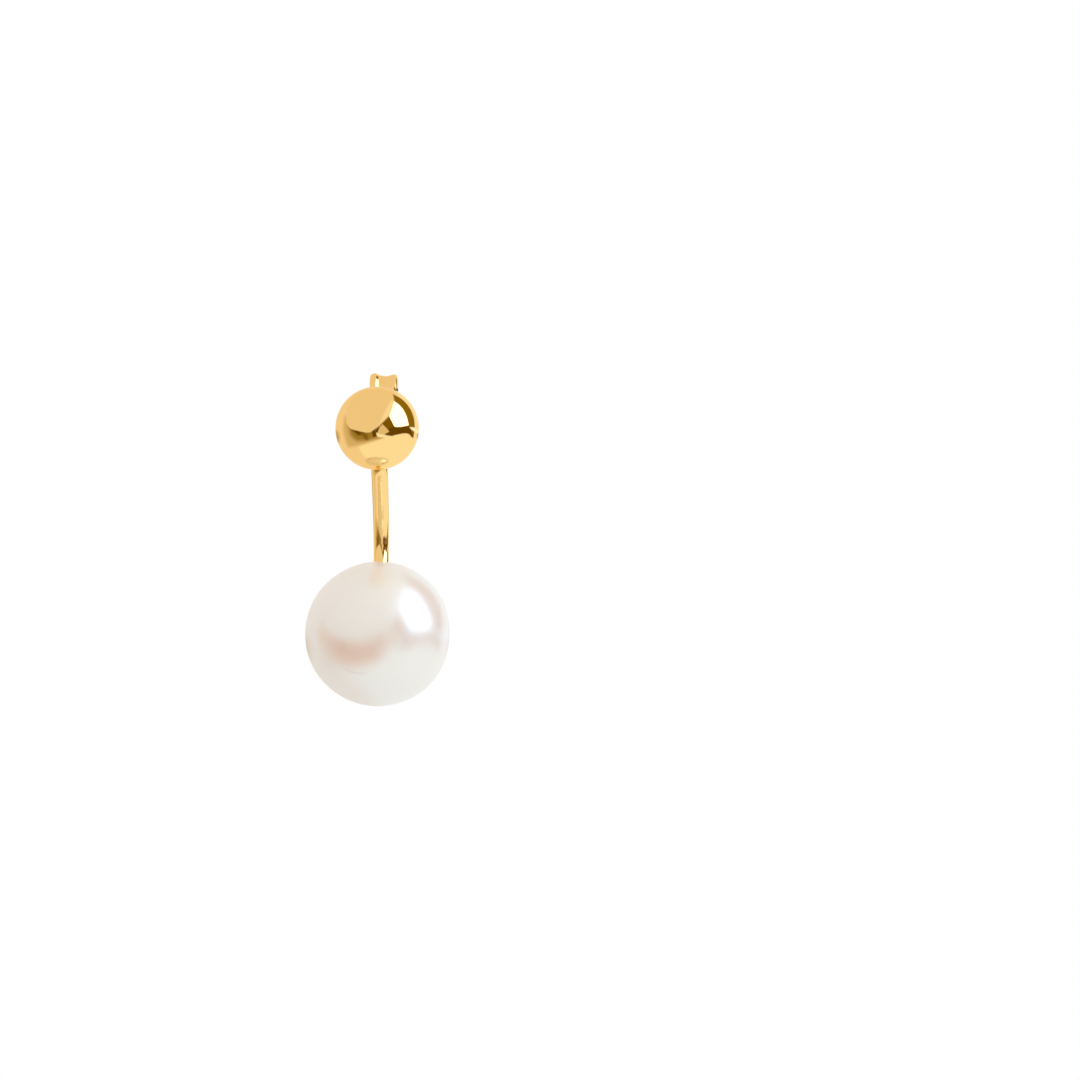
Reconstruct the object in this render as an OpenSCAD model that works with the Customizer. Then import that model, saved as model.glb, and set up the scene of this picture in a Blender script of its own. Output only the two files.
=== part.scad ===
// Pearl ear jacket: a ball stud, a curved arm that hangs on its post, a round pearl and a nut.
// Millimetres. +Z is up, the ball faces -Y, and the post runs along +Y.
// The origin is on the post's axis, where the post leaves the back of the ball.

/* [Ball stud] */
// Diameter of the polished ball
ball_d = 6; // [4:0.1:8]
// Diameter of the ear post
post_d = 0.8; // [0.7:0.05:0.9]
// Length of the post behind the ball
post_length = 10; // [9.6:0.1:12]

/* [Jacket arm] */
// Outer diameter of the eyelet that hangs on the post
eyelet_d = 2.7; // [2.2:0.1:3.4]
// Thickness of the eyelet, front to back
eyelet_t = 0.75; // [0.7:0.05:0.85]
// Width of the arm behind the ball
arm_top_w = 1.25; // [1:0.01:1.4]
// Width of the arm at the pearl
arm_end_w = 1.07; // [0.9:0.01:1.2]
// Thickness of the arm where it is flattened, at the eyelet
arm_top_t = 0.66; // [0.5:0.02:0.7]
// Thickness of the arm below the ball, as a share of its width: 1 is round
arm_roundness = 1; // [0.6:0.05:1]
// Length of the arm that hangs straight down, from the post's axis to the first bend
neck_length = 3.25; // [3.2:0.05:3.6]
// Slope of the arm's straight stretch, back from the vertical
arm_slope = 27; // [20:1:34]
// Length of that sloping straight stretch
slope_length = 3.45; // [2.6:0.05:4]
// Length of the arm that hangs straight again below the slope
plumb_length = 0.3; // [0.1:0.05:0.8]
// Turn of the last bend, forward from the vertical to the pearl
end_turn = 50; // [40:1:60]

/* [Pearl] */
// Diameter of the pearl
pearl_d = 10.4; // [8:0.1:12]
// Diameter of the peg that holds the pearl
peg_d = 0.74; // [0.6:0.02:0.9]
// Length of the peg inside the pearl
peg_length = 4; // [2.5:0.1:4.5]

/* [Butterfly nut] */
// Distance from the back of the ball to the nut's plate
nut_y = 5.05; // [3:0.05:6]
// Diameter of the nut's plate
plate_d = 3.5; // [3.2:0.1:4]
// Outer radius of each scroll
scroll_r = 1.26; // [1:0.02:1.4]
// Width of the strip that is rolled into the scrolls
strip_w = 1.97; // [1.8:0.01:2.2]
// Thickness of the nut's sheet metal
sheet_t = 0.24; // [0.2:0.01:0.28]
// Depth of the groove along the strip
groove_depth = 0.21; // [0.18:0.01:0.24]

/* [Hidden] */
$fn = 64;

gold = [0.93, 0.72, 0.36];
nacre = [0.93, 0.91, 0.89];

// Gap between two pieces that turn, slide or sit in one another
play = 0.05;
ball_r = ball_d / 2;
post_r = post_d / 2;

// The post's round notch, whose bottom is an arc, and its tapered tip
notch_y = 7.88;
notch_w = 0.56;
notch_depth = 0.07;
notch_arc_r = (notch_w * notch_w / 4 + notch_depth * notch_depth) / (2 * notch_depth);
tip_length = 0.4;
tip_r = post_r - 0.18;

// The arm's bends, and the table of its stretches from the eyelet down to the pearl
neck_bend_r = 0.9;
back_bend_r = 4.3;
front_bend_r = 3.28;
// A straight stretch has a length and no turn; a bend has a radius and a turn, positive to the back.
LENGTH = 0;
RADIUS = 1;
TURN = 2;
arm_rows = [
    [neck_length - post_d, 0, 0],
    [0, neck_bend_r, arm_slope],
    [slope_length, 0, 0],
    [0, back_bend_r, -arm_slope],
    [plumb_length, 0, 0],
    [0, front_bend_r, -end_turn],
];
last_row = len(arm_rows) - 1;
arm_y = play + eyelet_t / 2;
arm_start = [arm_y, -post_d];
outline_points = 28;
degrees_a_ring = 4;
mm_a_ring = 0.25;
// Heights between which the arm goes over from flat to round
flat_until_z = -1.4;
round_from_z = -2.5;

// The cup that the pearl is glued to
cup_r = 1.1;
cup_back_r = 0.64;
cup_floor = 0.12;
cup_h = 0.42;
cup_sink = 0.25;

// Places along the nut's strip, across its width, as shares of half the width
lobe_u = -0.63;
knee_u = -0.26;
dip_u = 0.2;
crest_u = 0.72;
// How much of the groove's depth is reached at the knee and left at the low crest, and how far each
// edge rounds off
knee_share = 0.75;
low_crest_share = 0.4;
high_edge_drop = 0.22;
low_edge_drop = 0.13;
// Gap between the nut's middle plane and each scroll's lowest line
scroll_lift = 0.34;
curl_r = 0.72;
roll_turn = 270;
curl_turn = 110;
strip_steps = 20;

// Heading of the arm at the start of a row, in degrees from straight down towards the back
function heading_at(row) = row == 0 ? 0 : heading_at(row - 1) + arm_rows[row - 1][TURN];

// Heading of the arm part of the way along a row
function heading_along(row, share) = heading_at(row) + share * arm_rows[row][TURN];

// Place [y, z] of the arm's middle at the start of a row
function place_at(row) = row == 0 ? arm_start : place_along(row - 1, 1);

// Place [y, z] of the arm's middle part of the way along a row
function place_along(row, share) =
    let (
        from = place_at(row),
        turn = arm_rows[row][TURN],
        a = heading_at(row),
        b = heading_along(row, share),
        run = share * arm_rows[row][LENGTH],
        reach = sign(turn) * arm_rows[row][RADIUS]
    )
    turn == 0
        ? from + run * [sin(a), -cos(a)]
        : from + reach * [cos(a) - cos(b), sin(a) - sin(b)];

// Rings along the arm, each [y, z, heading], a short length or a few degrees of bend apart
function row_rings(row) =
    let (
        by_length = ceil(arm_rows[row][LENGTH] / mm_a_ring),
        by_turn = ceil(abs(arm_rows[row][TURN]) / degrees_a_ring),
        steps = max(by_length, by_turn)
    )
    [for (i = [1:steps]) concat(place_along(row, i / steps), heading_along(row, i / steps))];
arm_rings = concat(
    [concat(arm_start, 0)],
    [for (row = [0:last_row]) each row_rings(row)]
);

seat_place = place_at(last_row + 1);
seat_heading = heading_at(last_row + 1);

// Width of the arm at a height, tapering evenly from the eyelet to the pearl
function arm_w_at(z) =
    arm_end_w + (arm_top_w - arm_end_w) * (z - seat_place[1]) / (arm_start[1] - seat_place[1]);

// Slow start and slow end, from 0 to 1, for u between two values
function eased(u, from, to) = (1 - cos(180 * (u - from) / (to - from))) / 2;

// Thickness of the arm at a height: flat at the eyelet, rounder lower down
function arm_t_at(z) =
    let (share = eased(max(min(z, flat_until_z), round_from_z), flat_until_z, round_from_z))
    arm_top_t + share * (arm_roundness * arm_w_at(z) - arm_top_t);

// Outline of the arm across its length: an oval
function arm_outline(w, t) = [
    for (i = [0:outline_points - 1])
        let (a = 360 * i / outline_points)
        [w / 2 * cos(a), t / 2 * sin(a)]
];

// One ring of the arm in space: across is x, and depth is square to the heading
function arm_ring(ring) = [
    for (p = arm_outline(arm_w_at(ring[1]), arm_t_at(ring[1])))
        [p[0], ring[0] + p[1] * cos(ring[2]), ring[1] + p[1] * sin(ring[2])]
];

// How far the nut's strip lies under its outer radius, at u from -1 to 1 across its width
function edge_drop(u, from, to, drop) = drop * (1 - sqrt(max(0, 1 - pow((u - from) / (to - from), 2))));
function groove_drop(u) =
    u < lobe_u
        ? edge_drop(u, lobe_u, -1, high_edge_drop)
        : u < knee_u
            ? groove_depth * knee_share * eased(u, lobe_u, knee_u)
            : u < dip_u
                ? groove_depth * (knee_share + (1 - knee_share) * eased(u, knee_u, dip_u))
                : groove_depth * (1 - (1 - low_crest_share) * eased(min(u, crest_u), dip_u, crest_u))
                    + edge_drop(max(u, crest_u), crest_u, 1, low_edge_drop);

// The strip's section for a roll of a given outer radius: radius along x, width along y
function rolled_strip(outer_r) = concat(
    [
        for (i = [0:strip_steps])
            let (u = 2 * i / strip_steps - 1)
            [outer_r - groove_drop(u), u * strip_w / 2]
    ],
    [
        for (i = [strip_steps:-1:0])
            let (u = 2 * i / strip_steps - 1)
            [outer_r - groove_drop(u) - sheet_t, u * strip_w / 2]
    ]
);

// Lays a shape that was made along +Z along the post, from a distance behind the ball
module along_post(from) {
    translate([0, from, 0]) rotate([-90, 0, 0]) children();
}

// Puts a shape at the arm's end, with +Z towards the middle of the pearl
module at_seat() {
    translate([0, seat_place[0], seat_place[1]]) rotate([180 + seat_heading, 0, 0]) children();
}

// The post, from inside the ball to its tapered tip, with the notch cut round it
module ear_post() {
    wall_end = post_length - tip_length;
    difference() {
        union() {
            along_post(-ball_r / 2) cylinder(r = post_r, h = ball_r / 2 + wall_end);
            along_post(wall_end) cylinder(r1 = post_r, r2 = tip_r, h = tip_length);
        }
        along_post(notch_y)
            rotate_extrude() translate([post_r - notch_depth + notch_arc_r, 0]) circle(r = notch_arc_r);
    }
}

module ball_stud() {
    color(gold) {
        translate([0, -ball_r, 0]) sphere(r = ball_r);
        ear_post();
    }
}

// The arm's own solid: rings of its outline, joined from one to the next
module arm_strip() {
    rings = [for (ring = arm_rings) arm_ring(ring)];
    n = len(rings[0]);
    last = len(rings) - 1;
    sides = [
        for (k = [0:last - 1])
            for (i = [0:n - 1])
                let (a = k * n + i, b = k * n + (i + 1) % n)
                each [[a, b, b + n], [a, b + n, a + n]]
    ];
    top = [for (i = [n - 1:-1:0]) i];
    bottom = [for (i = [0:n - 1]) last * n + i];
    polyhedron(points = [for (ring = rings) each ring], faces = concat(sides, [top, bottom]));
}

// The cup, hollowed to the pearl's curve, and the peg in its middle
module cup_and_peg() {
    at_seat() {
        difference() {
            translate([0, 0, -cup_sink]) cylinder(r1 = cup_back_r, r2 = cup_r, h = cup_sink + cup_h);
            translate([0, 0, cup_floor + pearl_d / 2]) sphere(d = pearl_d + 2 * play);
        }
        cylinder(d = peg_d, h = cup_floor + peg_length);
    }
}

module jacket_arm() {
    color(gold) {
        difference() {
            along_post(play) cylinder(d = eyelet_d, h = eyelet_t);
            along_post(0) cylinder(r = post_r + play, h = 2 * eyelet_t);
        }
        arm_strip();
        cup_and_peg();
    }
}

// The pearl, half drilled from the cup's side
module pearl_bead() {
    color(nacre)
        at_seat()
            difference() {
                translate([0, 0, cup_floor + pearl_d / 2]) sphere(d = pearl_d);
                cylinder(d = peg_d + 2 * play, h = cup_floor + peg_length + 2 * play);
            }
}

// The nut's upper scroll: rolled back over the top, down to the post and up inside itself
module scroll() {
    middle_z = scroll_lift + scroll_r;
    translate([0, nut_y, 0]) {
        linear_extrude(height = middle_z)
            polygon([for (p = rolled_strip(scroll_r)) [p[1], scroll_r - p[0]]]);
        translate([0, scroll_r, middle_z]) rotate([0, 90, 0])
            rotate_extrude(angle = roll_turn) polygon(rolled_strip(scroll_r));
        translate([0, scroll_r, scroll_lift + curl_r]) rotate([0, 90, 0]) rotate([0, 0, -curl_turn])
            rotate_extrude(angle = curl_turn) polygon(rolled_strip(curl_r));
    }
}

module butterfly_nut() {
    color(gold)
        difference() {
            union() {
                along_post(nut_y) cylinder(d = plate_d, h = sheet_t);
                scroll();
                mirror([0, 0, 1]) scroll();
            }
            along_post(nut_y - sheet_t) cylinder(r = post_r + play, h = 3 * sheet_t);
        }
}

ball_stud();
jacket_arm();
pearl_bead();
butterfly_nut();
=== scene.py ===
import sys
import logging
import math
from collections.abc import Callable
from dataclasses import dataclass
from enum import Enum

import bmesh
import bpy
from mathutils import Matrix, Vector


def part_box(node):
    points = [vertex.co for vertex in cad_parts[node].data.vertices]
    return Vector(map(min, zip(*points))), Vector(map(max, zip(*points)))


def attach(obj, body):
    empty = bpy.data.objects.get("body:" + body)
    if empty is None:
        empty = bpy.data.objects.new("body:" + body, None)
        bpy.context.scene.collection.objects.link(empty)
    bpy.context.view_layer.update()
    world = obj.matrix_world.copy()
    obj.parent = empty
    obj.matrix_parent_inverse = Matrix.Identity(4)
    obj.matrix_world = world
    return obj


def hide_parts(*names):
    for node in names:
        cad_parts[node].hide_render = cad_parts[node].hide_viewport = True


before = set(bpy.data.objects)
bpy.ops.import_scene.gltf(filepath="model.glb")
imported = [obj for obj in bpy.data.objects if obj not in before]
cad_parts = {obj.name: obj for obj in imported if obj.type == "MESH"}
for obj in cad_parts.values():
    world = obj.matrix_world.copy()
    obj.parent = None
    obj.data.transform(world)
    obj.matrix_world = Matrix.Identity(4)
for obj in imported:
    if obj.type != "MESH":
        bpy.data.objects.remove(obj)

# A pearl ear jacket: a ball stud, an arm that hangs on its post with a round pearl, and a butterfly nut.
# Each piece is modelled in millimetres and brought to metres when it is done. The studio's lamps and
# cards are placed by where the polished ball shows them.

MM = 0.001
ACROSS = Vector((1, 0, 0))
POST_WAY = Vector((0, 1, 0))
UPWARD = Vector((0, 0, 1))
Triple = tuple[float, float, float]
Colour = tuple[float, float, float]
Box = tuple[Vector, Vector]
Profile = list[tuple[float, float]]
PlaceTest = Callable[[Vector], bool]
Socket = bpy.types.NodeSocket
log = logging.getLogger("ear_jacket")

# In millimetres: the last ring's radius before a point, how near counts as there, and as one vertex
POINT_R = 0.02
NEAR = 1e-3
DOUBLE = 1e-4


class Part(Enum):
    """What a pick in edit mode takes: vertices, the open edges of the sheet, or faces."""

    VERTICES = "VERT"
    OPEN_EDGES = "EDGE"
    FACES = "FACE"


def box_in_mm(node: str) -> Box:
    """Gives the lowest and the highest corner of a CAD node's box, in millimetres."""
    low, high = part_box(node)
    return low / MM, high / MM


def eased(share: float) -> float:
    """Gives a share from 0 to 1 a slow start and a slow end."""
    return (1 - math.cos(math.pi * min(max(share, 0.0), 1.0))) / 2


def rounded_off(share: float) -> float:
    """Gives the depth of a round edge, from 0 where it starts to 1 at its rim."""
    return 1 - math.sqrt(1 - min(max(share, 0.0), 1.0) ** 2)


def arc(middle: tuple[float, float], radius: float, start: float, end: float, steps: int) -> Profile:
    """Places points (along, away) on an arc, without its first one. 0 degrees is along, 90 is away."""
    angles = [math.radians(start + (end - start) * step / steps) for step in range(1, steps + 1)]
    return [(middle[0] + radius * math.cos(a), middle[1] + radius * math.sin(a)) for a in angles]


class Workpiece:
    """A mesh on the bench, in millimetres, that is open in edit mode and shaped with its tools."""

    def __init__(self, name: str) -> None:
        """Takes up the primitive that was added last.

        Args:
            name: the piece's name.
        """
        self.piece = bpy.context.active_object
        self.piece.name = name
        self.piece.data.name = name
        bpy.ops.object.transform_apply(location=True, rotation=True, scale=True)
        bpy.ops.object.mode_set(mode="EDIT")

    @classmethod
    def from_ball(cls, name: str, middle: Vector, radius: float, pole: Vector, rings: int) -> "Workpiece":
        """Starts from a ball.

        Args:
            name: the piece's name.
            middle: the ball's middle.
            radius: the ball's radius.
            pole: the way from the middle to the pole where its rings close.
            rings: the number of rings from pole to pole.

        Returns:
            The workpiece, with nothing picked.
        """
        bpy.ops.object.select_all(action="DESELECT")
        bpy.ops.mesh.primitive_uv_sphere_add(
            segments=2 * rings, ring_count=rings, radius=radius, location=middle, rotation=turn_to(pole)
        )
        return cls(name)

    @classmethod
    def from_hoop(cls, name: str, middle: Vector, radius: float, axis: Vector, count: int) -> "Workpiece":
        """Starts from a hoop of edges, which is left picked.

        Args:
            name: the piece's name.
            middle: the hoop's middle.
            radius: the hoop's radius.
            axis: the way that the hoop faces.
            count: the number of its vertices.

        Returns:
            The workpiece.
        """
        bpy.ops.object.select_all(action="DESELECT")
        bpy.ops.mesh.primitive_circle_add(
            vertices=count, radius=radius, location=middle, rotation=turn_to(axis)
        )
        work = cls(name)
        bpy.ops.mesh.select_all(action="SELECT")
        return work

    def add_hoop(self, middle: Vector, radius: float, axis: Vector, count: int) -> None:
        """Adds another hoop of edges to the mesh and leaves it picked."""
        bpy.ops.mesh.select_mode(type="EDGE")
        bpy.ops.mesh.primitive_circle_add(
            vertices=count, radius=radius, location=middle, rotation=turn_to(axis)
        )

    def pick(self, part: Part, wanted: PlaceTest) -> None:
        """Selects what a test wants, by its middle, and nothing else.

        Args:
            part: vertices, open edges or faces.
            wanted: the test, which is given the middle of each.
        """
        bpy.ops.mesh.select_mode(type=part.value)
        bpy.ops.mesh.select_all(action="DESELECT")
        mesh = bmesh.from_edit_mesh(self.piece.data)
        if part is Part.VERTICES:
            found = [vertex for vertex in mesh.verts if wanted(vertex.co)]
        elif part is Part.OPEN_EDGES:
            found = [
                edge
                for edge in mesh.edges
                if len(edge.link_faces) < 2 and wanted((edge.verts[0].co + edge.verts[1].co) / 2)
            ]
        else:
            found = [face for face in mesh.faces if wanted(face.calc_center_median())]
        for element in found:
            element.select_set(True)
        mesh.select_flush_mode()
        bmesh.update_edit_mesh(self.piece.data)

    def cut_away(self, wanted: PlaceTest) -> None:
        """Deletes the faces that a test wants, by their middle."""
        self.pick(Part.FACES, wanted)
        bpy.ops.mesh.delete(type="FACE")

    def press(self, wanted: PlaceTest, way: Callable[[Vector], Vector]) -> None:
        """Moves the vertices that a test wants, each its own way.

        Args:
            wanted: the test, which is given each vertex's place.
            way: how far a vertex at that place goes.
        """
        mesh = bmesh.from_edit_mesh(self.piece.data)
        for vertex in mesh.verts:
            if wanted(vertex.co):
                vertex.co += way(vertex.co)
        bmesh.update_edit_mesh(self.piece.data)

    def draw_out(self, shift: Vector) -> None:
        """Extrudes what is picked by a shift."""
        bpy.ops.mesh.extrude_region_move(TRANSFORM_OT_translate={"value": shift})

    def resize(self, factors: Triple, about: Vector) -> None:
        """Scales what is picked along X, Y and Z about a point."""
        bpy.ops.transform.resize(value=factors, center_override=about)

    def tip(self, angle: float, about: Vector) -> None:
        """Turns what is picked about X through a point, by an angle that turns +Y towards +Z."""
        # With no window the operator turns the other way, which the minus sign makes good
        bpy.ops.transform.rotate(value=-angle, orient_axis="X", center_override=about)

    def lathe(self, origin: Vector, axis: Vector, profile: Profile) -> None:
        """Draws the picked hoop out ring by ring, as a turned shape.

        Args:
            origin: the point of the axis that distances along it count from.
            axis: the way that the shape is turned about.
            profile: (along, radius) of each ring, the first of them the picked hoop's own.
        """
        for (along, radius), (next_along, next_radius) in zip(profile, profile[1:]):
            self.draw_out((next_along - along) * axis)
            factor = next_radius / radius
            self.resize((factor, factor, factor), origin + next_along * axis)

    def close_to_point(self) -> None:
        """Closes the picked hoop to a point with one last ring of faces."""
        self.draw_out(Vector((0, 0, 0)))
        bpy.ops.mesh.merge(type="CENTER")

    def bridge(self, rows: int, wanted: PlaceTest, smoothness: float = 1.0) -> None:
        """Joins two open rims with a skin.

        Args:
            rows: the number of cuts across the skin.
            wanted: the test that picks both rims.
            smoothness: how far the skin goes on the way that both rims lead; 0 is the straight way.
        """
        self.pick(Part.OPEN_EDGES, wanted)
        bpy.ops.mesh.bridge_edge_loops(
            type="SINGLE",
            number_cuts=rows,
            interpolation="SURFACE" if smoothness and rows else "LINEAR",
            smoothness=smoothness,
        )

    def push(self, place: Vector, shift: Vector, reach: float) -> None:
        """Pushes the skin at one place, with a soft falloff round it.

        Args:
            place: the point whose nearest vertex is moved.
            shift: how far it goes.
            reach: how far from there the push fades out.
        """
        mesh = bmesh.from_edit_mesh(self.piece.data)
        nearest = min((vertex.co - place).length for vertex in mesh.verts)
        self.pick(Part.VERTICES, lambda co: (co - place).length <= nearest)
        bpy.ops.transform.translate(
            value=shift,
            use_proportional_edit=True,
            proportional_edit_falloff="SMOOTH",
            proportional_size=reach,
        )

    def leave_bench(self, sharp_above: float = 40.0) -> None:
        """Closes edit mode with doubles merged and faces outwards, and shades the mesh smooth.

        Args:
            sharp_above: the angle in degrees above which an edge stays sharp.
        """
        bpy.ops.mesh.select_mode(type="VERT")
        bpy.ops.mesh.select_all(action="SELECT")
        bpy.ops.mesh.remove_doubles(threshold=DOUBLE)
        bpy.ops.mesh.normals_make_consistent(inside=False)
        bpy.ops.object.mode_set(mode="OBJECT")
        bpy.ops.object.shade_smooth_by_angle(angle=math.radians(sharp_above))

    def fit(self, kind: str, **settings: object) -> None:
        """Adds a modifier and applies it, out of edit mode.

        Args:
            kind: the modifier's type.
            settings: its settings.
        """
        modifier = self.piece.modifiers.new(kind.lower(), kind)
        for name, value in settings.items():
            setattr(modifier, name, value)
        bpy.ops.object.modifier_apply(modifier=modifier.name)


def turn_to(way: Vector) -> Triple:
    """Gives the rotation that turns +Z to a way."""
    return tuple(UPWARD.rotation_difference(way).to_euler())


@dataclass
class NodeBench:
    """A node tree, with short calls that add a node, set it and join its inputs."""

    tree: bpy.types.NodeTree

    def add(
        self, kind: str, inputs: dict[str | int, object] | None = None, **settings: object
    ) -> bpy.types.Node:
        """Adds a node.

        Args:
            kind: the node's type.
            inputs: what goes into its sockets, each a value or another node's output.
            settings: its other settings.

        Returns:
            The node.
        """
        node = self.tree.nodes.new(kind)
        for name, value in settings.items():
            setattr(node, name, value)
        for key, value in (inputs or {}).items():
            if isinstance(value, Socket):
                self.tree.links.new(value, node.inputs[key])
            else:
                node.inputs[key].default_value = value
        return node

    def math(self, operation: str, *values: object) -> Socket:
        """Adds a Math node and gives its output."""
        return self.add("ShaderNodeMath", dict(enumerate(values)), operation=operation).outputs[0]

    def vector(self, operation: str, *values: object) -> Socket:
        """Adds a Vector Math node and gives its output, a number for a length or a dot product."""
        node = self.add("ShaderNodeVectorMath", dict(enumerate(values)), operation=operation)
        return node.outputs["Value" if operation in ("LENGTH", "DOT_PRODUCT") else "Vector"]

    def ramp(
        self, value: object, low: float, high: float, at_low: float = 0.0, at_high: float = 1.0
    ) -> Socket:
        """Maps a value from one range to another, with soft ends, and gives the mapped value."""
        wanted = {"Value": value, 1: low, 2: high, 3: at_low, 4: at_high}
        return self.add("ShaderNodeMapRange", wanted, interpolation_type="SMOOTHSTEP").outputs[0]

    def blend(self, share: object, under: object, over: object) -> Socket:
        """Mixes two colours, each a socket or red, green and blue, by how much of the second shows."""
        pair = [c if isinstance(c, Socket) else (*c, 1.0) for c in (under, over)]
        return self.add("ShaderNodeMix", {0: share, 6: pair[0], 7: pair[1]}, data_type="RGBA").outputs[2]

    def along(self, way: Vector, place: Socket) -> Socket:
        """Tells how far a place lies along a way."""
        return self.vector("DOT_PRODUCT", place, tuple(way))

    def noise(self, place: object, size_mm: float, detail: float = 2.0) -> Socket:
        """Adds noise whose lumps are about a size in millimetres, and gives its value."""
        wanted = {"Vector": place, "Scale": 1 / (size_mm * MM), "Detail": detail}
        return self.add("ShaderNodeTexNoise", wanted).outputs[0]


@dataclass(frozen=True)
class Finish:
    """The look of a surface, which a kind of finish paints with nodes."""

    name: str

    def paint(self, bench: NodeBench) -> Socket:
        """Adds the nodes of the look and gives its shader."""
        raise NotImplementedError

    def material(self) -> bpy.types.Material:
        """Makes the material.

        Returns:
            A material whose surface is what the finish paints.
        """
        material = bpy.data.materials.new(self.name)
        material.use_nodes = True
        material.node_tree.nodes.clear()
        bench = NodeBench(material.node_tree)
        bench.add("ShaderNodeOutputMaterial", {"Surface": self.paint(bench)})
        return material


@dataclass(frozen=True)
class GlowFinish(Finish):
    """A surface that glows evenly."""

    light: Colour = (1.0, 1.0, 1.0)

    def paint(self, bench: NodeBench) -> Socket:
        """Adds the glow and gives its shader."""
        return bench.add("ShaderNodeEmission", {"Color": (*self.light, 1.0), "Strength": 1.0}).outputs[0]


@dataclass(frozen=True)
class Viewpoint:
    """Where the photograph was taken from: a long lens, a little above and to the right.

    The ball's place and the scale are in pixels of the photograph.
    """

    azimuth: float = 3.0
    elevation: float = 7.0
    lens: float = 500.0
    sensor: float = 36.0
    image_side: float = 1080.0
    ball_x: float = 377.3
    ball_y: float = 428.0
    pixels_per_mm: float = 13.95

    @property
    def back(self) -> Vector:
        """The way from the object to the camera."""
        a, e = math.radians(self.azimuth), math.radians(self.elevation)
        return Vector((math.sin(a) * math.cos(e), -math.cos(a) * math.cos(e), math.sin(e)))

    @property
    def right(self) -> Vector:
        """The way to the right in the picture."""
        a = math.radians(self.azimuth)
        return Vector((math.cos(a), math.sin(a), 0))

    @property
    def up(self) -> Vector:
        """The way up in the picture."""
        return self.back.cross(self.right)

    def set_camera(self, ball_middle: Vector) -> None:
        """Makes the scene's camera, turned a little so that the ball shows where the photograph has it.

        Args:
            ball_middle: the ball's middle in millimetres.
        """
        half = self.image_side / 2
        distance = self.image_side / self.pixels_per_mm * self.lens / self.sensor
        place = ball_middle + distance * self.back
        rightward = (half - self.ball_x) / self.pixels_per_mm * self.right
        downward = (half - self.ball_y) / self.pixels_per_mm * self.up
        aim = ball_middle + rightward - downward
        data = bpy.data.cameras.new("camera")
        data.lens = self.lens
        data.sensor_width = self.sensor
        camera = bpy.data.objects.new("camera", data)
        bpy.context.scene.collection.objects.link(camera)
        camera.rotation_mode = "QUATERNION"
        camera.rotation_quaternion = (aim - place).to_track_quat("-Z", "Y")
        camera.location = place * MM
        bpy.context.scene.camera = camera


@dataclass(frozen=True)
class Card:
    """A lamp, a panel, a dark flag or the room between them, placed by where the ball shows it.

    A corner (right, up) is a place on the ball's disc as the camera sees it, in radii of the ball, and
    the corners go round anticlockwise. The light is red, green and blue. The edge is how far the card
    fades to each side of its outline, in the same radii, and so is how far its corners are rounded.
    """

    name: str
    light: Colour
    corners: tuple[tuple[float, float], ...]
    edge: float = 0.03
    corner_round: float = 0.04

    def mask(self, bench: NodeBench, place: Socket) -> Socket:
        """Draws the card's outline.

        Args:
            bench: the node tree.
            place: the place on the ball's disc.

        Returns:
            A socket that is 1 inside the outline and 0 outside it.
        """
        depth = None
        for start, end in zip(self.corners, self.corners[1:] + self.corners[:1]):
            side = Vector(end) - Vector(start)
            inward = Vector((-side.y, side.x)).normalized()
            inside = bench.math("SUBTRACT", bench.along(inward.to_3d(), place), inward.dot(Vector(start)))
            if depth is None:
                depth = inside
            else:
                depth = bench.math("SMOOTH_MIN", depth, inside, self.corner_round)
        return bench.ramp(depth, -self.edge, self.edge)


PALE_FLOOR: Colour = (1.0, 0.99, 0.98)
DARK_WOOD: Colour = (0.13, 0.07, 0.0)

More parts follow.
